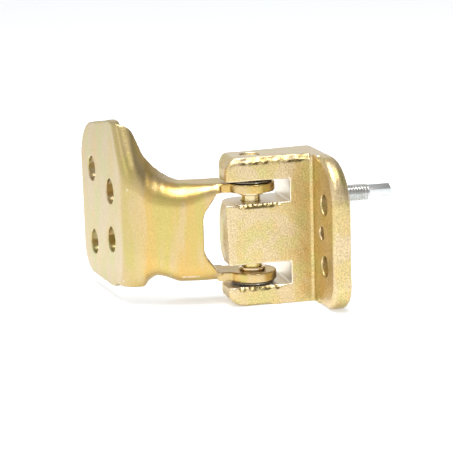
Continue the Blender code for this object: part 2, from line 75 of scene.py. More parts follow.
def rounded_join(a, b, radius):
    """Two shapes as one, the inner corner between them filleted."""
    corner = np.hypot(np.maximum(radius - a, 0), np.maximum(radius - b, 0))
    return np.maximum(radius, np.minimum(a, b)) - corner


def ripples(x, y, z, wave, seed):
    """A smooth random value of about -1 to 1 that changes over one wavelength."""
    random = np.random.default_rng(seed)
    total = np.zeros_like(x)
    for _ in range(7):
        direction = random.normal(size=3)
        direction *= 2 * pi / wave / np.linalg.norm(direction)
        total += np.sin(x * direction[0] + y * direction[1] + z * direction[2] + random.uniform(0, 2 * pi))
    return total / 3.5


def ease(value, start, end):
    """0 before start, 1 after end, and smooth between."""
    share = np.clip((value - start) / (end - start), 0, 1)
    return share * share * (3 - 2 * share)


def bracket_shape(x, y, z):
    """Distance to the bracket's surface in millimetres, negative inside."""
    top = z - HEIGHT
    foot = -z
    back = y - BACK - BACK_TAPER * np.clip((x - TAPER_START) / (FLANGE_OUTER - TAPER_START), 0, 1)
    face = WEB_FRONT - y

    # Web: a crowned left end, rounded well to the back. A large term takes a face
    # out of play where it should not reach
    past_web = 50 * ease(x, 5.0, 15.0)
    level = (z - 31.6) / 13.0
    middle = ease(z, 17.0, 19.5) * (1 - ease(z, 43.7, 46.2))
    crown = middle * (0.6 - 1.7 * np.clip(np.abs(level), 0, 1.2) ** 3)
    lean = 0.5 * middle * level
    deep = ease(y, -9.5, -4.0)
    left = WEB_LEFT - x - crown * deep - lean * (1 - deep)
    end = rounded_meet(left, top - past_web, END_TOP_RADIUS)
    end = rounded_meet(end, foot - past_web, END_FOOT_RADIUS)
    web = rounded_meet(end, face, 2.4 - 1.6 * middle)
    web = np.maximum(web, rounded_meet(left, back, END_BACK_RADIUS))

    # Flange: its rim rounded on the inside of the L, filleted into the web
    beside_web = 50 * ease(y, -16.0, -10.0)
    rim = rounded_meet(FLANGE_FRONT - y, top - beside_web, RIM_TOP_RADIUS)
    rim = rounded_meet(rim, foot - beside_web, RIM_FOOT_RADIUS)
    flange = rounded_meet(FLANGE_INNER - x, rim, 2.6)
    body = rounded_join(web, flange, 1.5)
    body = rounded_meet(body, np.maximum(top, foot), 0.05 + 0.55 * ease(x, 4.0, 9.0))
    outer_radius = 2.6 + 1.8 * ease(z, 40.0, 60.0)
    outside = rounded_meet(x - FLANGE_OUTER, rounded_meet(rim, top, 0.1), outer_radius)
    body = np.maximum(body, rounded_meet(outside, back, 2.4))

    # Trimmed top front edge, ragged where the trimming tool let go
    trim = (face + top + TRIM + 0.22 * ripples(x, y, z, 2.6, 3)) / sqrt(2)
    body = rounded_meet(body, trim - 60 * ease(x, FLANGE_INNER - 1.0, FLANGE_INNER + 0.5), 0.25)
    tear = 0.42 * np.clip(0.4 + ripples(x, y, z, 2.2, 17), 0, 1)
    tear = tear - 60 * ease(x, 21.0, 23.0) - 60 * ease(-x, 9.0, 11.0)
    body = np.maximum(body, tear - np.hypot(y - WEB_FRONT, top + TEAR_UNDER_TOP))
    body += 0.05 * ripples(x, y, z, 9.0, 5) + 0.02 * ripples(x, y, z, 3.5, 8)

    # Slots; the knuckle edges under them are broken close to the pin
    near_pin = 1 - ease(np.abs(x - 1.0), 8.0, 12.0)
    for low, high in SLOTS:
        slot = rounded_meet(rounded_meet(low - z, z - high, 0.3), x - SLOT_END, 0.8)
        body = rounded_meet(body, -slot, 0.35)
        lip = (face + z - low + (1.1 + 0.5 * ripples(x, y, z, 2.0, 11)) * near_pin) / sqrt(2)
        body = np.maximum(body, lip - 99 * (z > low + 2.0) - 99 * ease(x, 13.0, 16.0))

    # Pin bore, bolt holes, setting hole and the stud's hole
    body = rounded_meet(body, PIN_BORE_RADIUS - np.hypot(x, y), 0.3)
    for radius, hole_y, hole_z in FLANGE_HOLES:
        hole = np.maximum(np.hypot(y - hole_y, z - hole_z) - radius, 15.0 - x)
        body = rounded_meet(body, -hole, 0.5)
    stud_hole = np.maximum(np.hypot(y, z - STUD_LEVEL) - STUD_HOLE_RADIUS, STUD_HOLE_FLOOR - x)
    return rounded_meet(body, -stud_hole, 0.4)


def new_object(name, data):
    """An object that holds this data, placed in the scene."""
    made = bpy.data.objects.new(name, data)
    bpy.context.scene.collection.objects.link(made)
    return made


def skin(name, shape, low, high, cell):
    """A mesh of the surface on which shape(x, y, z) is zero; the space is cut into cells."""
    axes = [np.arange(a, b + cell, cell) for a, b in zip(low, high)]
    value = shape(*np.meshgrid(*axes, indexing="ij"))
    inside = value < 0
    count = np.zeros([n - 1 for n in inside.shape], int)
    for i in (0, 1):
        for j in (0, 1):
            for k in (0, 1):
                count += inside[i:i + count.shape[0], j:j + count.shape[1], k:k + count.shape[2]]
    crossed = (count > 0) & (count < 8)
    index = np.full(count.shape, -1)
    index[crossed] = np.arange(crossed.sum())
    total = np.zeros((crossed.sum(), 3))
    hits = np.zeros(crossed.sum())
    quads = []
    for axis in range(3):
        one, two = [d for d in range(3) if d != axis]
        near = np.take(value, range(value.shape[axis] - 1), axis)
        far = np.take(value, range(1, value.shape[axis]), axis)
        cut = np.argwhere((near < 0) != (far < 0))
        cut = cut[(cut[:, one] > 0) & (cut[:, two] > 0)]
        cut = cut[(cut[:, one] < value.shape[one] - 1) & (cut[:, two] < value.shape[two] - 1)]
        a, b = near[tuple(cut.T)], far[tuple(cut.T)]
        point = np.array(low) + cut * cell
        point[:, axis] += cell * a / (a - b)
        around = []
        for back_one, back_two in ((1, 1), (0, 1), (0, 0), (1, 0)):
            place = cut.copy()
            place[:, one] -= back_one
            place[:, two] -= back_two
            corner = index[tuple(place.T)]
            np.add.at(total, corner, point)
            np.add.at(hits, corner, 1)
            around.append(corner)
        quad = np.stack(around, 1)
        turned_over = (a > 0) if axis != 1 else (a < 0)
        quad[turned_over] = quad[turned_over, ::-1]
        quads.append(quad)
    point = total / hits[:, None]

    # Each vertex slides along the slope onto the surface
    step = 0.1 * cell
    for _ in range(4):
        distance = shape(*point.T)
        slope = np.stack([
            (shape(*(point + shift).T) - shape(*(point - shift).T)) / (2 * step)
            for shift in np.eye(3) * step
        ], 1)
        steep = np.maximum((slope ** 2).sum(1), 0.25)
        point -= slope * np.clip(distance / steep, -cell / 2, cell / 2)[:, None]
    faces = np.concatenate(quads)
    mesh = bpy.data.meshes.new(name)
    mesh.from_pydata(point * MM, [], faces.tolist())
    mesh.shade_smooth()
    return new_object(name, mesh)


# The plating: yellow chromate over zinc. Its film shifts between gold, green and
# pink, it grows over a fine grain, and it thins to bright zinc on sharp edges.
# Hollows and creases are darkened as painted shade.


def add_node(tree, kind, inputs=(), **settings):
    """A node with its settings; an input takes a value or another node's socket."""
    made = tree.nodes.new(kind)
    for name, value in settings.items():
        setattr(made, name, value)
    for name, value in dict(inputs).items():
        if isinstance(value, bpy.types.NodeSocket):
            tree.links.new(value, made.inputs[name])
        else:
            made.inputs[name].default_value = value
    return made


def calc_in(tree, operation, first, second=0.0):
    """One step of arithmetic in a tree."""
    return add_node(tree, "ShaderNodeMath", {0: first, 1: second}, operation=operation).outputs[0]


def ramp(tree, value, start, end, low=0.0, high=1.0, smooth=False):
    """A value that goes from low to high while its input goes from start to end."""
    return add_node(
        tree, "ShaderNodeMapRange",
        {"Value": value, "From Min": start, "From Max": end, "To Min": low, "To Max": high},
        interpolation_type="SMOOTHSTEP" if smooth else "LINEAR",
    ).outputs[0]


def noise(tree, where, scale, detail=2.0, roughness=0.5):
    """A smooth random value over a surface, about 0.3 to 0.7."""
    return add_node(
        tree, "ShaderNodeTexNoise",
        {"Vector": where, "Scale": scale, "Detail": detail, "Roughness": roughness},
    ).outputs["Fac"]


def blend_colours(tree, share, first, second):
    """The first colour, turned to the second by a share from 0 to 1."""
    return add_node(tree, "ShaderNodeMix", {0: share, 6: first, 7: second}, data_type="RGBA").outputs[2]


def retint(tree, socket, share, colour):
    """Turn the colour that reaches a socket to another one, by a share from 0 to 1."""
    turned = blend_colours(tree, share, socket.links[0].from_socket, colour)
    tree.links.new(turned, socket)


def new_group(name, inputs, outputs, kind="ShaderNodeTree"):
    """A node group with its named sockets: (tree, its inputs' node, its outputs' node)."""
    tree = bpy.data.node_groups.new(name, kind)
    for in_out, sockets in (("INPUT", inputs), ("OUTPUT", outputs)):
        for socket_name, (socket_type, value) in sockets.items():
            socket = tree.interface.new_socket(socket_name, in_out=in_out, socket_type=socket_type)
            if value is not None:
                socket.default_value = value
    return tree, tree.nodes.new("NodeGroupInput"), tree.nodes.new("NodeGroupOutput")


def rgb(red, green, blue):
    """A colour for a socket."""
    return (red, green, blue, 1.0)


YELLOW = ("NodeSocketColor", rgb(0.8, 0.6, 0.3))

film, film_in, film_out = new_group(
    "chromate_film",
    {
        "Gold": YELLOW, "Warm": YELLOW, "Green": YELLOW, "Rose": YELLOW,
        "Patch Size": ("NodeSocketFloat", 0.012),
        "Streak": ("NodeSocketFloat", 0.3),
        "Speckle": ("NodeSocketFloat", 0.1),
    },
    {"Color": ("NodeSocketColor", None)},
)
where = add_node(film, "ShaderNodeTexCoord").outputs["Object"]
stretch = add_node(film, "ShaderNodeCombineXYZ", {"X": 1.0, "Y": 1.0, "Z": film_in.outputs["Streak"]})
drawn_out = add_node(film, "ShaderNodeVectorMath", {0: where, 1: stretch.outputs[0]}, operation="MULTIPLY")
frequency = calc_in(film, "DIVIDE", 1.0, film_in.outputs["Patch Size"])
mixed = film_in.outputs["Gold"]
for tint, apart in (("Warm", 1.7), ("Green", 8.3), ("Rose", 5.1)):
    moved = add_node(
        film, "ShaderNodeVectorMath", {0: drawn_out.outputs[0], 1: (apart, apart, apart)}, operation="ADD",
    )
    share = ramp(film, noise(film, moved.outputs[0], frequency), 0.46, 0.62, smooth=True)
    mixed = blend_colours(film, share, mixed, film_in.outputs[tint])
darkest = calc_in(film, "SUBTRACT", 1.0, film_in.outputs["Speckle"])
shade = ramp(film, noise(film, where, 1500.0), 0.3, 0.7, darkest)
dotted = add_node(film, "ShaderNodeVectorMath", {0: mixed, "Scale": shade}, operation="SCALE")
film.links.new(dotted.outputs[0], film_out.inputs["Color"])

grain, grain_in, grain_out = new_group(
    "plating_grain",
    {"Grain Size": ("NodeSocketFloat", 0.0006), "Dents": ("NodeSocketFloat", 0.3)},
    {"Height": ("NodeSocketFloat", None)},
)
where = add_node(grain, "ShaderNodeTexCoord").outputs["Object"]
fine = noise(grain, where, calc_in(grain, "DIVIDE", 1.0, grain_in.outputs["Grain Size"]), 3.0, 0.6)
dents = calc_in(grain, "MULTIPLY", noise(grain, where, 260.0, 1.0), grain_in.outputs["Dents"])
grain.links.new(calc_in(grain, "ADD", fine, dents), grain_out.inputs["Height"])

edges, edges_in, edges_out = new_group(
    "bright_edges_and_crease_shade",
    {
        "Color": YELLOW,
        "Bare": ("NodeSocketColor", rgb(0.85, 0.82, 0.75)),
        "Amount": ("NodeSocketFloat", 0.7),
    },
    {"Color": ("NodeSocketColor", None)},
)
point = add_node(edges, "ShaderNodeNewGeometry").outputs["Pointiness"]
where = add_node(edges, "ShaderNodeTexCoord").outputs["Object"]
uneven = ramp(edges, noise(edges, where, 500.0), 0.3, 0.6, 0.35)
worn = calc_in(edges, "MULTIPLY", ramp(edges, point, 0.53, 0.62), uneven)
worn = calc_in(edges, "MULTIPLY", worn, edges_in.outputs["Amount"])
# Painted shade: where the surface is hollow (low pointiness) its colour is darkened
shade = ramp(edges, point, 0.38, 0.48, 0.45)
crease_shaded = add_node(
    edges, "ShaderNodeVectorMath", {0: edges_in.outputs["Color"], "Scale": shade}, operation="SCALE",
)
bared = blend_colours(edges, worn, crease_shaded.outputs[0], edges_in.outputs["Bare"])
edges.links.new(bared, edges_out.inputs["Color"])


def plated(name, roughness, film_values, grain_values, bump, bare, edge_amount):
    """A chromated zinc finish: film, grain, bright edges and painted shade in creases on one metal."""
    material = bpy.data.materials.new(name)
    material.use_nodes = True
    tree = material.node_tree
    shader = tree.nodes["Principled BSDF"]
    shader.inputs["Metallic"].default_value = 1.0
    colour = add_node(tree, "ShaderNodeGroup", film_values, node_tree=film)
    edge = add_node(
        tree, "ShaderNodeGroup",
        {"Color": colour.outputs["Color"], "Bare": bare, "Amount": edge_amount},
        node_tree=edges, name="Bright Edges And Crease Shade",
    )
    tree.links.new(edge.outputs["Color"], shader.inputs["Base Color"])
    relief = add_node(tree, "ShaderNodeGroup", grain_values, node_tree=grain).outputs["Height"]
    raised = add_node(tree, "ShaderNodeBump", {"Height": relief, "Strength": bump, "Distance": 0.0002})
    tree.links.new(raised.outputs["Normal"], shader.inputs["Normal"])
    rough = ramp(tree, relief, 0.4, 0.9, roughness - 0.05, roughness + 0.06)
    tree.links.new(rough, shader.inputs["Roughness"])
    return material


def mark(piece, name, share):
    """Keep a share for every vertex; returns the socket that reads it in the piece's material."""
    piece.data.attributes.new(name, "FLOAT", "POINT").data.foreach_set("value", share)
    tree = piece.data.materials[0].node_tree
    return add_node(tree, "ShaderNodeAttribute", attribute_name=name).outputs["Fac"]


forged_zinc = plated(
    "forged_yellow_zinc", 0.34,
    {
        "Gold": rgb(0.76, 0.59, 0.27), "Warm": rgb(0.79, 0.565, 0.25), "Green": rgb(0.72, 0.61, 0.26),
        "Rose": rgb(0.79, 0.62, 0.36), "Patch Size": 0.009, "Streak": 0.7, "Speckle": 0.40,
    },
    {"Grain Size": 0.0007, "Dents": 0.5}, 0.55, rgb(0.86, 0.83, 0.72), 0.7,
)

bracket = skin("forged_bracket", bracket_shape, (-15.5, -38.5, -1.5), (35.0, 16.5, 66.0), BRACKET_CELL)
bracket.data.materials.append(forged_zinc)

# Machined slots keep a paler film than the forged skin; the trimmed top is painted
# paler as well, a painted highlight from the light above
spots = np.empty(len(bracket.data.vertices) * 3)
bracket.data.vertices.foreach_get("co", spots)
x, y, z = spots.reshape(-1, 3).T / MM
# Painted highlight: the top face is tinted paler, as lit from above
machined_and_lit_top = 0.45 * ease(z, HEIGHT - 0.5, HEIGHT - 0.1)
for low, high in SLOTS:
    to_wall = np.maximum(np.maximum(low - z, z - high), x - SLOT_END)
    machined_and_lit_top = np.maximum(machined_and_lit_top, 1 - ease(np.abs(to_wall), 0.15, 0.45))
tree = forged_zinc.node_tree
under_edges = tree.nodes["Bright Edges And Crease Shade"].inputs["Color"]
retint(tree, under_edges, mark(bracket, "machined_and_lit_top", machined_and_lit_top), rgb(0.84, 0.76, 0.62))

# The torn groove under the trimmed edges is painted dark brown, as painted shade in the groove
to_edge = np.hypot(y - WEB_FRONT, z - HEIGHT + TEAR_UNDER_TOP)
for low, _ in SLOTS:
    under_slot = np.hypot(y - WEB_FRONT, z - low + TEAR_UNDER_SLOT)
    to_edge = np.minimum(to_edge, under_slot + 9 * ease(np.abs(x - 1.0), 8.0, 10.0))
torn_groove_shade = (1 - ease(to_edge, 0.45, 0.9)) * ease(ripples(x, y, z, 3.0, 21), -0.5, 0.3)
torn_groove_shade = torn_groove_shade * ease(x, -9.0, -5.0) * (1 - ease(x, 21.0, 23.0))
over_edges = tree.nodes["Principled BSDF"].inputs["Base Color"]
retint(tree, over_edges, mark(bracket, "torn_groove_shade", torn_groove_shade), rgb(0.16, 0.12, 0.05))
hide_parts("pillar_bracket")
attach(bracket, "bracket")

# --- Hinge pin ---------------------------------------------------------------
# A plain ground pin, pressed through the three knuckles from above. Its foot is
# flush with the bracket's, its head sits a little below the top.

TURNED_SIDES = 96
PIN_RADIUS, PIN_TOP = 4.1, 64.1


def place_in_scene(name, shape, material):
    """A finished object from a bmesh, its lengths turned from millimetres to metres."""
    mesh = bpy.data.meshes.new(name)
    bmesh.ops.scale(shape, vec=(MM, MM, MM), verts=shape.verts)
    shape.to_mesh(mesh)
    shape.free()
    mesh.shade_smooth()
    mesh.set_sharp_from_angle(angle=radians(32))
    mesh.materials.append(material)
    return new_object(name, mesh)


def lathe(profile, sides=TURNED_SIDES):
    """A bmesh turned about Z from a closed profile of (radius, height)."""
    shape = bmesh.new()
    rings = []
    for radius, height in profile:
        if radius < 1e-6:
            rings.append([shape.verts.new((0, 0, height))] * sides)
            continue
        angles = [2 * pi * side / sides for side in range(sides)]
        rings.append([shape.verts.new((radius * cos(a), radius * sin(a), height)) for a in angles])
    for ring, following in zip(rings, rings[1:] + rings[:1]):
        if ring[0] is ring[1] and following[0] is following[1]:
            continue
        for side in range(sides):
            corners = [ring[side], ring[(side + 1) % sides], following[(side + 1) % sides], following[side]]
            shape.faces.new(list(dict.fromkeys(corners)))
    bmesh.ops.recalc_face_normals(shape, faces=shape.faces)
    return shape


def round_over(start, corner, finish, weight, steps):
    """Points on a curve that sets off for the corner and turns to the finish."""
    points = []
    for step in range(steps + 1):
        share = step / steps
        pull = 2 * weight * share * (1 - share)
        total = (1 - share) ** 2 + pull + share ** 2
        points.append((start * (1 - share) ** 2 + corner * pull + finish * share ** 2) / total)
    return points


def eased_corners(corners, steps=3):
    """A profile or outline through (x, y, radius), each corner rounded by its radius."""
    points = []
    for index, (x, y, radius) in enumerate(corners):
        corner = Vector((x, y))
        before = (Vector(corners[index - 1][:2]) - corner).normalized()
        after = (Vector(corners[(index + 1) % len(corners)][:2]) - corner).normalized()
        if radius == 0:
            points.append((x, y))
            continue
        half = before.angle(after) / 2
        start = corner + before * radius / tan(half)
        finish = corner + after * radius / tan(half)
        points.extend(tuple(point) for point in round_over(start, corner, finish, sin(half), steps))
    return points


pin_zinc = plated(
    "ground_pin_zinc", 0.24,
    {
        "Gold": rgb(0.79, 0.67, 0.30), "Warm": rgb(0.70, 0.55, 0.23), "Green": rgb(0.79, 0.71, 0.35),
        "Rose": rgb(0.80, 0.67, 0.40),
        "Patch Size": 0.006, "Streak": 0.2, "Speckle": 0.08,
    },
    {"Grain Size": 0.0005, "Dents": 0.1}, 0.2, rgb(0.85, 0.80, 0.68), 0.5,
)
pin = place_in_scene("hinge_pin_ground", lathe(eased_corners([
    (0, 0, 0), (PIN_RADIUS, 0, 0.5), (PIN_RADIUS, PIN_TOP, 0.7), (0, PIN_TOP, 0),
])), pin_zinc)
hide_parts("hinge_pin")
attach(pin, "bracket")

# --- Bushes and washers ------------------------------------------------------
# A turned bronze bush with a flange is pressed into each ear, its flange
# towards the middle knuckle. A thin steel washer lies on each ear's outer side.

GAP = 0.3
UPPER_EAR, LOWER_EAR = (49.0, 52.9), (10.3, 14.2)
BUSH_BORE, BUSH_BARREL, BUSH_FLANGE, BUSH_FLANGE_THICKNESS = 4.4, 5.15, 5.8, 1.2
WASHER_RADIUS, WASHER_THICKNESS = 9.5, 0.8

bronze = plated(
    "turned_bronze", 0.2,
    {
        "Gold": rgb(0.78, 0.64, 0.42), "Warm": rgb(0.74, 0.56, 0.34), "Green": rgb(0.76, 0.66, 0.44),
        "Rose": rgb(0.80, 0.66, 0.50),
        "Patch Size": 0.004, "Streak": 1.0, "Speckle": 0.05,
    },
    {"Grain Size": 0.0004, "Dents": 0.1}, 0.1, rgb(0.95, 0.88, 0.74), 0.4,
)
# Painted shade: the washers are coloured near black for the shaded gaps they sit in, with their rims
# painted bright as highlight lines
washer_shade_paint = plated(
    "washer_steel", 0.3,
    {
        "Gold": rgb(0.16, 0.14, 0.11), "Warm": rgb(0.20, 0.15, 0.10), "Green": rgb(0.17, 0.16, 0.12),
        "Rose": rgb(0.22, 0.18, 0.15),
        "Patch Size": 0.004, "Streak": 1.0, "Speckle": 0.1,
    },
    {"Grain Size": 0.0004, "Dents": 0.1}, 0.1, rgb(0.92, 0.90, 0.84), 0.9,
)

for name, (low, high), outward in (("upper", UPPER_EAR, 1), ("lower", LOWER_EAR, -1)):
    inner, outer = (low, high) if outward > 0 else (high, low)
    seat = inner - outward * GAP
    face = seat - outward * BUSH_FLANGE_THICKNESS
    bush = place_in_scene(f"{name}_flanged_bush", lathe(eased_corners([
        (BUSH_BARREL, outer, 0.15), (BUSH_BARREL, seat, 0), (BUSH_FLANGE, seat, 0.2),
        (BUSH_FLANGE, face, 0.35), (BUSH_BORE, face, 0.2), (BUSH_BORE, outer, 0.15),
    ])), bronze)
    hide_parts(f"{name}_bush")
    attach(bush, "leaf")

    near = outer + outward * GAP
    far = near + outward * WASHER_THICKNESS
    washer = place_in_scene(f"{name}_thrust_washer", lathe(eased_corners([
        (WASHER_RADIUS, near, 0.25), (WASHER_RADIUS, far, 0.25),
        (BUSH_BORE, far, 0.15), (BUSH_BORE, near, 0.15),
    ])), washer_shade_paint)
    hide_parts(f"{name}_washer")
    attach(washer, "leaf")

# --- Door leaf ---------------------------------------------------------------
# One 4.1 mm sheet pressed into shape: a plate with four bolt holes, turned round
# the door's edge into an arm whose upper and lower sides fold back to a channel
# and run on as two flat ears round the pin.

SHEET = 4.1
ARM_TOP, ARM_FOOT = 53.0, 10.2
ARM_FRONT, ARM_DEPTH, ARM_END, ARM_BEND = -9.5, 18.5, -13.0, 1.6
PLATE_ANGLE = radians(19)
PLATE_BACKWARD = Vector((-sin(PLATE_ANGLE), cos(PLATE_ANGLE)))
CORNER = Vector((-54.2, ARM_FRONT + 13.2 * tan(radians(10))))
PLATE_DEPTH = 62.4
PLATE_TOP_FRONT, PLATE_TOP_BACK, PLATE_TOP_ARCH = 80.3, 71.8, 1.6
PLATE_FOOT, PLATE_FOOT_BACK, PLATE_FOOT_RUN = 8.1, 5.5, 26.0
PLATE_TOP_RADIUS, PLATE_FOOT_RADIUS = 16.0, 13.0
FOOT_FOLD_RADIUS = 8.5
HOLES_LEVEL = 37.5
BOLT_HOLE_RADIUS, CHAMFER = 5.5, 0.4
BOLT_PAIRS = ((20.0, 10.7), (46.4, 16.7))  # back from the plate's corner, half a pair's spacing
MOUTH_X, MOUTH_HALF, MOUTH_FLOOR_X, MOUTH_FLOOR_HALF = -15.0, 16.5, -20.6, 8.5
EAR_RADIUS, EAR_NECK_FRONT = 10.5, 5.5
REST_SWING = radians(-13)
LEAF_CELL = 0.45
LEAF_SPACING = 0.7
# The mark that the bending die left: from the plate's corner, its depth and its width
CREASE, CREASE_DEPTH, CREASE_WIDTH = 9.0, 0.22, 0.6

# Distance from the plate's corner, fold above the arm's, share of the arm's depth,
# and free edge as a share of the way from the arm's edge to the plate's
UPPER_FOLD = (
    (-10.0, 4.5, 0.57, 0.975),
    (2.0, 4.2, 0.59, 0.94),
    (4.0, 3.9, 0.61, 0.89),
    (5.3, 3.6, 0.63, 0.83),
    (6.3, 3.3, 0.64, 0.66),
    (7.6, 2.9, 0.66, 0.49),
    (9.8, 2.0, 0.73, 0.37),
    (13.6, 1.2, 0.84, 0.21),
    (18.5, 0.4, 0.95, 0.07),
    (22.5, 0.0, 1.0, 0.0),
    (60.0, 0.0, 1.0, 0.0),
)
LOWER_FOLD = (
    (-10.0, 7.8, 0.27, 1.0),
    (2.0, 7.3, 0.30, 1.0),
    (7.5, 6.3, 0.32, 0.90),
    (8.8, 5.3, 0.43, -0.14),
    (12.5, 4.3, 0.59, -1.10),
    (16.5, 2.8, 0.86, -0.86),
    (22.0, 0.0, 1.0, 0.0),
    (60.0, 0.0, 1.0, 0.0),
)


def sheet_plan():
    """The sheet's face seen from above: evenly spaced points and their distance from the corner."""
    back_edge = CORNER + PLATE_BACKWARD * PLATE_DEPTH
    corners = [(*back_edge, 0), (*CORNER, 8.0), (-41.0, ARM_FRONT, 20.0), (ARM_END, ARM_FRONT, 0)]
    line = np.array(eased_corners(corners, steps=24))
    run = np.concatenate([[0], np.cumsum(np.hypot(*np.diff(line, axis=0).T))])
    nearest = run[np.argmin(np.hypot(*(line - np.array(CORNER)).T))]
    even = np.linspace(0, run[-1], round(run[-1] / LEAF_SPACING) + 1)
    points = np.stack([np.interp(even, run, line[:, 0]), np.interp(even, run, line[:, 1])], 1)
    points[:, 1] += ARM_BEND * ease(points[:, 0], -23.0, ARM_END)
    points[:, 1] += CREASE_DEPTH * np.exp(-((even - nearest - CREASE) / CREASE_WIDTH) ** 2)
    return points, even - nearest


def plate_edge(distance, upper):
    """Height of the plate's free edge, its back corner rounded."""
    radius = PLATE_TOP_RADIUS if upper else PLATE_FOOT_RADIUS
    past = np.maximum(-distance - (PLATE_DEPTH - radius), 0)
    drop = radius - np.sqrt(np.maximum(radius ** 2 - past ** 2, 0))
    if upper:
        fallen = np.clip(-distance / PLATE_DEPTH, 0, 1) ** PLATE_TOP_ARCH
        return PLATE_TOP_FRONT + (PLATE_TOP_BACK - PLATE_TOP_FRONT) * fallen - drop
    return PLATE_FOOT + (PLATE_FOOT_BACK - PLATE_FOOT) * ease(-distance, 0.0, PLATE_FOOT_RUN) + drop


def folds(distance, stations, upper):
    """Fold height, edge depth and edge height along the sheet, eased between the stations."""
    table = np.array(stations)
    arm_edge, plate_level = (ARM_TOP, PLATE_TOP_FRONT) if upper else (ARM_FOOT, PLATE_FOOT)
    lift, depth, height = [
        np.mean([
            np.interp(distance + shift, table[:, 0], table[:, column])
            for shift in np.linspace(-blur, blur, 11)
        ], axis=0)
        for column, blur in ((1, 1.6), (2, 1.6), (3, 0.7))
    ]
    fold = arm_edge + lift
    depth = depth * ARM_DEPTH
    height = arm_edge + (plate_level - arm_edge) * height
    share = (distance + PLATE_DEPTH) / (stations[0][0] + PLATE_DEPTH)
    plate_depth = stations[0][2] * ARM_DEPTH * share
    plate_fold = HOLES_LEVEL + (arm_edge + stations[0][1] - HOLES_LEVEL) * (1 + share) / 2
    plate_height = plate_edge(distance - plate_depth, upper)
    arm = ease(distance, -13.0, -8.0)
    return (
        plate_fold + (fold - plate_fold) * arm,
        plate_depth + (depth - plate_depth) * arm,
        plate_height + (height - plate_height) * arm,
    )


def half_section(fold, depth, height, sign, radius):
    """Points (depth, height) from the face round the fold to the free edge."""
    corner = Vector((0, fold))
    edge = Vector((depth, height))
    to_edge = (edge - corner).normalized()
    reach = min(radius, 0.9 * (edge - corner).length)
    start = corner - Vector((0, sign)) * reach
    finish = corner + to_edge * reach
    weight = sin(Vector((0, -sign)).angle(to_edge) / 2)
    points = round_over(start, corner, finish, weight, 12)
    points.extend(finish.lerp(edge, step / 10) for step in range(1, 11))
    return points


def prism(outline, low, high, axis="Z"):
    """A bmesh with this outline, from low to high along Z, or along Y with the outline in X and Z."""
    shape = bmesh.new()
    foot = [shape.verts.new((x, y, low) if axis == "Z" else (x, low, y)) for x, y in outline]
    head = [shape.verts.new((x, y, high) if axis == "Z" else (x, high, y)) for x, y in outline]
    shape.faces.new(foot)
    shape.faces.new(head)
    for index in range(len(outline)):
        following = (index + 1) % len(outline)
        shape.faces.new((foot[index], foot[following], head[following], head[index]))
    bmesh.ops.recalc_face_normals(shape, faces=shape.faces)
    return shape


def loose(name, shape):
    """A helper object from a bmesh, in millimetres."""
    mesh = bpy.data.meshes.new(name)
    shape.to_mesh(mesh)
    shape.free()
    return new_object(name, mesh)


def apply_modifiers(thing):
    """Keep the object's mesh as its modifiers leave it."""
    bpy.context.view_layer.update()
    evaluated = thing.evaluated_get(bpy.context.evaluated_depsgraph_get())
    mesh = bpy.data.meshes.new_from_object(evaluated)
    thing.modifiers.clear()
    thing.data = mesh


def combine(target, tool, operation):
    """Join or cut with a helper, which is then removed."""
    modifier = target.modifiers.new(tool.name, "BOOLEAN")
    modifier.operation = operation
    modifier.solver = "EXACT"
    modifier.object = tool
    apply_modifiers(target)
    bpy.data.objects.remove(tool)


plan, distance = sheet_plan()
upper = np.stack(folds(distance, UPPER_FOLD, True), 1)
lower = np.stack(folds(distance, LOWER_FOLD, False), 1)
# The stretched upper edge is slightly wavy beside the plate
upper[:, 2] += 0.14 * np.sin(distance * 1.9) * ease(distance, 4.0, 7.0) * (1 - ease(distance, 17.0, 20.0))
sections = []
top_radii = 6.0 + 3.5 * ease(distance, 3.0, 12.0) - 4.5 * ease(distance, 24.0, 38.0)
for top, foot, top_radius in zip(upper, lower, top_radii):
    above = half_section(*top, 1, top_radius)
    below = half_section(*foot, -1, FOOT_FOLD_RADIUS)
    web = [below[0].lerp(above[0], step / 18) for step in range(1, 18)]
    sections.append(below[::-1] + web + above)

shell = bmesh.new()
rows = []
for (x, y), along, section in zip(plan, distance, sections):
    turn = float(ease(np.array(along), 0.0, 8.0))
    backward = PLATE_BACKWARD.lerp(Vector((0, 1)), turn).normalized()
    points = [(x + backward.x * depth, y + backward.y * depth, height) for depth, height in section]
    rows.append([shell.verts.new(point) for point in points])
for row, following in zip(rows, rows[1:]):
    for column in range(len(row) - 1):
        shell.faces.new((row[column], following[column], following[column + 1], row[column + 1]))
leaf = loose("pressed_leaf", shell)
thick = leaf.modifiers.new("sheet", "SOLIDIFY")
thick.thickness = SHEET
thick.offset = -1
apply_modifiers(leaf)

neck_back = ARM_DEPTH + ARM_FRONT
front_angle = pi + asin(EAR_NECK_FRONT / EAR_RADIUS)
back_angle = 3 * pi - asin(neck_back / EAR_RADIUS)
disc = [
    (EAR_RADIUS * cos(front_angle + (back_angle - front_angle) * step / 60),
     EAR_RADIUS * sin(front_angle + (back_angle - front_angle) * step / 60))
    for step in range(61)
]
ear_outline = disc + [(ARM_END - 2.0, neck_back - 0.1), (ARM_END - 2.0, -EAR_NECK_FRONT)]
for low, high in (LOWER_EAR, UPPER_EAR):
    combine(leaf, loose("ear", prism(ear_outline, low, high)), "UNION")

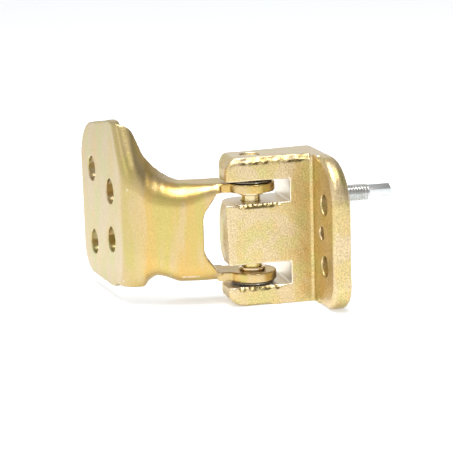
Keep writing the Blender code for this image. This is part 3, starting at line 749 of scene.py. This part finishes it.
# The arm's end is hollowed out round the middle knuckle
middle = (ARM_TOP + ARM_FOOT) / 2
hollow = eased_corners([
    (MOUTH_X, middle + MOUTH_HALF, 2.0), (MOUTH_FLOOR_X, middle + MOUTH_FLOOR_HALF, 8.0),
    (MOUTH_FLOOR_X, middle - MOUTH_FLOOR_HALF, 8.0), (MOUTH_X, middle - MOUTH_HALF, 2.0),
    (MOUTH_X, LOWER_EAR[1], 0), (EAR_RADIUS + 1, LOWER_EAR[1], 0),
    (EAR_RADIUS + 1, UPPER_EAR[0], 0), (MOUTH_X, UPPER_EAR[0], 0),
], steps=12)
combine(leaf, loose("arm_end", prism(hollow, -20.0, 20.0, "Y")), "DIFFERENCE")
remesh = leaf.modifiers.new("skin", "REMESH")
remesh.mode = "VOXEL"
remesh.voxel_size = LEAF_CELL
soften = leaf.modifiers.new("soften", "SMOOTH")
soften.factor = 0.5
soften.iterations = 4
apply_modifiers(leaf)

hole_cutters = bmesh.new()
outward = Vector((-cos(PLATE_ANGLE), -sin(PLATE_ANGLE), 0))
past = 5.0
flare = BOLT_HOLE_RADIUS + past + CHAMFER
bolt_profile = [
    (0, -past), (flare, -past), (BOLT_HOLE_RADIUS, CHAMFER),
    (BOLT_HOLE_RADIUS, SHEET - CHAMFER), (flare, SHEET + past), (0, SHEET + past),
]
for back, half_spacing in BOLT_PAIRS:
    for side in (-1, 1):
        cutter = lathe(bolt_profile, 64)
        spot = Vector((*(CORNER + PLATE_BACKWARD * back), HOLES_LEVEL + side * half_spacing))
        turn = (-outward).to_track_quat("Z", "Y").to_matrix().to_4x4()
        bmesh.ops.transform(cutter, matrix=Matrix.Translation(spot) @ turn, verts=cutter.verts)
        part = bpy.data.meshes.new("part")
        cutter.to_mesh(part)
        cutter.free()
        hole_cutters.from_mesh(part)
combine(leaf, loose("holes", hole_cutters), "DIFFERENCE")
ear_bore = BUSH_BARREL + GAP
combine(leaf, loose("bore", lathe([(0, 8), (ear_bore, 8), (ear_bore, 56), (0, 56)])), "DIFFERENCE")

pressed_zinc = plated(
    "pressed_yellow_zinc", 0.31,
    {
        "Gold": rgb(0.61, 0.43, 0.145), "Warm": rgb(0.63, 0.41, 0.13), "Green": rgb(0.56, 0.45, 0.145),
        "Rose": rgb(0.61, 0.455, 0.22), "Patch Size": 0.007, "Streak": 0.16, "Speckle": 0.14,
    },
    {"Grain Size": 0.0009, "Dents": 0.35}, 0.18, rgb(0.88, 0.84, 0.70), 0.5,
)

# The plate is painted a greyer, darker film than the arm, as painted shade for how the plate is lit
tree = pressed_zinc.node_tree
plate_shade_film = add_node(
    tree, "ShaderNodeGroup",
    {
        "Gold": rgb(0.52, 0.41, 0.18), "Warm": rgb(0.54, 0.39, 0.16), "Green": rgb(0.48, 0.42, 0.165),
        "Rose": rgb(0.53, 0.41, 0.22), "Patch Size": 0.010, "Streak": 0.5, "Speckle": 0.14,
    },
    node_tree=film,
)
along = add_node(tree, "ShaderNodeSeparateXYZ", {0: add_node(tree, "ShaderNodeTexCoord").outputs["Object"]})
on_plate = ramp(tree, along.outputs["X"], -0.046, -0.057)
retint(tree, tree.nodes["Bright Edges And Crease Shade"].inputs["Color"], on_plate, plate_shade_film.outputs["Color"])
leaf.data.transform(Matrix.Rotation(REST_SWING, 4, "Z") @ Matrix.Scale(MM, 4))
leaf.data.shade_smooth()
leaf.data.set_sharp_from_angle(angle=radians(40))
leaf.data.materials.clear()
leaf.data.materials.append(pressed_zinc)
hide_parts("door_leaf")
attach(leaf, "leaf")

# --- Mounting stud -----------------------------------------------------------
# An M8 stud with a rolled thread, screwed into the flange; its outer end is
# drawn down to a 6 mm hexagon for a key.

STUD_START, SHOULDER, STUD_END = 18.4, 53.1, 63.1
THREAD_RADIUS, THREAD_DEPTH, PITCH = 3.98, 0.75, 1.25
KEY_CORNER_RADIUS, KEY_ROOT = 3.464, 2.5

thread, thread_in, thread_out = new_group(
    "rolled_thread",
    {
        "Geometry": ("NodeSocketGeometry", None),
        "Length": ("NodeSocketFloat", 0.02),
        "Outer Radius": ("NodeSocketFloat", 0.004),
        "Depth": ("NodeSocketFloat", 0.0007),
        "Pitch": ("NodeSocketFloat", 0.00125),
        "Sides": ("NodeSocketInt", 48),
        "Rings": ("NodeSocketInt", 120),
        "Material": ("NodeSocketMaterial", None),
    },
    {"Geometry": ("NodeSocketGeometry", None)},
    "GeometryNodeTree",
)


def calc(operation, first, second=0.0):
    """One step of arithmetic in the thread's tree."""
    return calc_in(thread, operation, first, second)


flat = add_node(
    thread, "GeometryNodeMeshGrid",
    {
        "Size X": 1.0, "Size Y": 1.0,
        "Vertices X": thread_in.outputs["Rings"], "Vertices Y": thread_in.outputs["Sides"],
    },
)
spot = add_node(thread, "GeometryNodeInputPosition").outputs[0]
across = add_node(thread, "ShaderNodeSeparateXYZ", {0: spot})
turns = calc("ADD", across.outputs["Y"], 0.5)
run = calc("MULTIPLY", calc("ADD", across.outputs["X"], 0.5), thread_in.outputs["Length"])
phase = calc("FRACT", calc("SUBTRACT", calc("DIVIDE", run, thread_in.outputs["Pitch"]), turns))
ridge = calc("SUBTRACT", 1.0, calc("ABSOLUTE", calc("SUBTRACT", calc("MULTIPLY", phase, 2.0), 1.0)))
flank = ramp(thread, ridge, 0.12, 0.85)
lead = ramp(thread, calc("SUBTRACT", thread_in.outputs["Length"], run), 0.0, 0.001, 1.0, 0.0)
valley = calc("MAXIMUM", calc("SUBTRACT", 1.0, flank), lead)
cut = calc("MULTIPLY", valley, thread_in.outputs["Depth"])
radial = calc("SUBTRACT", thread_in.outputs["Outer Radius"], cut)
angle = calc("MULTIPLY", turns, 2 * pi)
wrapped = add_node(
    thread, "ShaderNodeCombineXYZ",
    {
        "X": run,
        "Y": calc("MULTIPLY", radial, calc("COSINE", angle)),
        "Z": calc("MULTIPLY", radial, calc("SINE", angle)),
    },
)
rolled = add_node(
    thread, "GeometryNodeSetPosition",
    {"Geometry": flat.outputs["Mesh"], "Position": wrapped.outputs[0]},
)
closed = add_node(thread, "GeometryNodeMergeByDistance", {"Geometry": rolled.outputs[0], "Distance": 1e-6})
real = add_node(thread, "GeometryNodeRealizeInstances", {"Geometry": closed.outputs[0]})
dressed = add_node(
    thread, "GeometryNodeSetMaterial",
    {"Geometry": real.outputs[0], "Material": thread_in.outputs["Material"]},
)
thread.links.new(dressed.outputs[0], thread_out.inputs["Geometry"])


def threaded(name, values):
    """A plain mesh of the thread along +X from the origin, from named values."""
    host = new_object(name, bpy.data.meshes.new(name))
    modifier = host.modifiers.new("thread", "NODES")
    modifier.node_group = thread
    for socket in thread.interface.items_tree:
        if socket.in_out == "INPUT" and socket.name in values:
            modifier[socket.identifier] = values[socket.name]
    apply_modifiers(host)
    return host


bright_zinc = plated(
    "bright_stud_zinc", 0.22,
    {
        "Gold": rgb(0.68, 0.69, 0.67), "Warm": rgb(0.60, 0.60, 0.57), "Green": rgb(0.68, 0.70, 0.68),
        "Rose": rgb(0.72, 0.71, 0.70),
        "Patch Size": 0.005, "Streak": 1.0, "Speckle": 0.06,
    },
    {"Grain Size": 0.0004, "Dents": 0.1}, 0.12, rgb(0.20, 0.20, 0.20), 1.0,
)
stud = threaded("threaded_stud", {
    "Length": (SHOULDER - STUD_START) * MM, "Outer Radius": THREAD_RADIUS * MM,
    "Depth": THREAD_DEPTH * MM, "Pitch": PITCH * MM, "Sides": 65, "Rings": 441, "Material": bright_zinc,
})
shape = bmesh.new()
shape.from_mesh(stud.data)
bmesh.ops.holes_fill(shape, edges=shape.edges, sides=0)
bmesh.ops.recalc_face_normals(shape, faces=shape.faces)
bmesh.ops.translate(shape, vec=(STUD_START * MM, 0, STUD_LEVEL * MM), verts=shape.verts)
shape.to_mesh(stud.data)
shape.free()
key_length = STUD_END - SHOULDER + KEY_ROOT
hexagon = lathe([(0, 0), (KEY_CORNER_RADIUS, 0), (KEY_CORNER_RADIUS, key_length), (0, key_length)], 6)
bmesh.ops.bevel(
    hexagon, geom=[edge for edge in hexagon.edges if edge.calc_face_angle(0) > 0.5],
    offset=0.3, segments=3, profile=0.5, affect="EDGES",
)
bmesh.ops.bisect_plane(
    hexagon, geom=hexagon.verts[:] + hexagon.edges[:] + hexagon.faces[:],
    plane_co=(0, 0, 4), plane_no=(0, 0, 1),
)
key = Matrix.Translation((SHOULDER - KEY_ROOT, 0, STUD_LEVEL)) @ Matrix.Rotation(pi / 2, 4, "Y")
bmesh.ops.transform(hexagon, matrix=Matrix.Scale(MM, 4) @ key, verts=hexagon.verts)
hexagon.from_mesh(stud.data)
hexagon.to_mesh(stud.data)
hexagon.free()
stud.data.shade_smooth()
stud.data.set_sharp_from_angle(angle=radians(25))
stud.data.materials.clear()
stud.data.materials.append(bright_zinc)
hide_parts("mounting_stud")
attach(stud, "bracket")

# --- Floor, light and camera -------------------------------------------------
# A pale floor in a white room, dimmer overhead and on the right, lit by a large
# softbox above and a faint one on the left. The camera sees the room plain white.

floor_shape = bmesh.new()
bmesh.ops.create_circle(floor_shape, cap_ends=True, segments=96, radius=3.0)
floor_mesh = bpy.data.meshes.new("floor")
floor_shape.to_mesh(floor_mesh)
floor_shape.free()
studio_floor = new_object("studio_floor", floor_mesh)
paper = bpy.data.materials.new("pale_paper")
paper.use_nodes = True
for socket, value in {
    "Base Color": rgb(0.80, 0.83, 0.88), "Roughness": 0.9,
    "Emission Color": rgb(1, 1, 1), "Emission Strength": 0.40,
}.items():
    paper.node_tree.nodes["Principled BSDF"].inputs[socket].default_value = value
floor_mesh.materials.append(paper)

world = bpy.data.worlds.new("studio")
bpy.context.scene.world = world
world.use_nodes = True
sky = world.node_tree
around = add_node(sky, "ShaderNodeTexCoord").outputs["Generated"]
compass = add_node(sky, "ShaderNodeSeparateXYZ", {0: around})
ceiling = ramp(sky, compass.outputs["Z"], 0.25, 0.6, 1.0, 0.62, smooth=True)
side = ramp(sky, compass.outputs["X"], 0.2, 0.8, 1.0, 0.5)
seen = add_node(sky, "ShaderNodeLightPath").outputs["Is Camera Ray"]
strength = calc_in(sky, "MAXIMUM", calc_in(sky, "MULTIPLY", ceiling, side), seen)
sky.links.new(strength, sky.nodes["Background"].inputs["Strength"])
sky.nodes["Background"].inputs["Color"].default_value = rgb(1, 1, 1)

LIT_PLACE = Vector((0, 0, 0.035))
for name, spot, size, power in (
    ("overhead_softbox", (-0.10, -0.12, 0.90), 0.60, 9.0),
    ("left_softbox", (-0.85, -0.25, 0.45), 0.45, 0.4),
):
    light = bpy.data.lights.new(name, "AREA")
    light.shape = "SQUARE"
    light.size = size
    light.energy = power
    lamp = new_object(name, light)
    lamp.location = spot
    lamp.rotation_euler = (LIT_PLACE - Vector(spot)).to_track_quat("-Z", "Y").to_euler()

camera_data = bpy.data.cameras.new("camera")
camera = new_object("camera", camera_data)
aim, camera_distance = Vector((0, 0, 0.032)), 0.74757
azimuth, elevation, roll = radians(-15.435), radians(12.091), radians(-1.432)
away = Vector((sin(azimuth) * cos(elevation), -cos(azimuth) * cos(elevation), sin(elevation)))
level = Vector((cos(azimuth), sin(azimuth), 0))
upright = level.cross(-away)
right = cos(roll) * level + sin(roll) * upright
up = -sin(roll) * level + cos(roll) * upright
place = Matrix((right, up, away)).transposed().to_4x4()
place.translation = aim + away * camera_distance
camera.matrix_world = place
camera_data.sensor_width = 36
camera_data.lens = 138.14
camera_data.shift_x = -0.0559
camera_data.shift_y = 0.0056
bpy.context.scene.camera = camera
bpy.context.scene.view_settings.view_transform = "Standard"
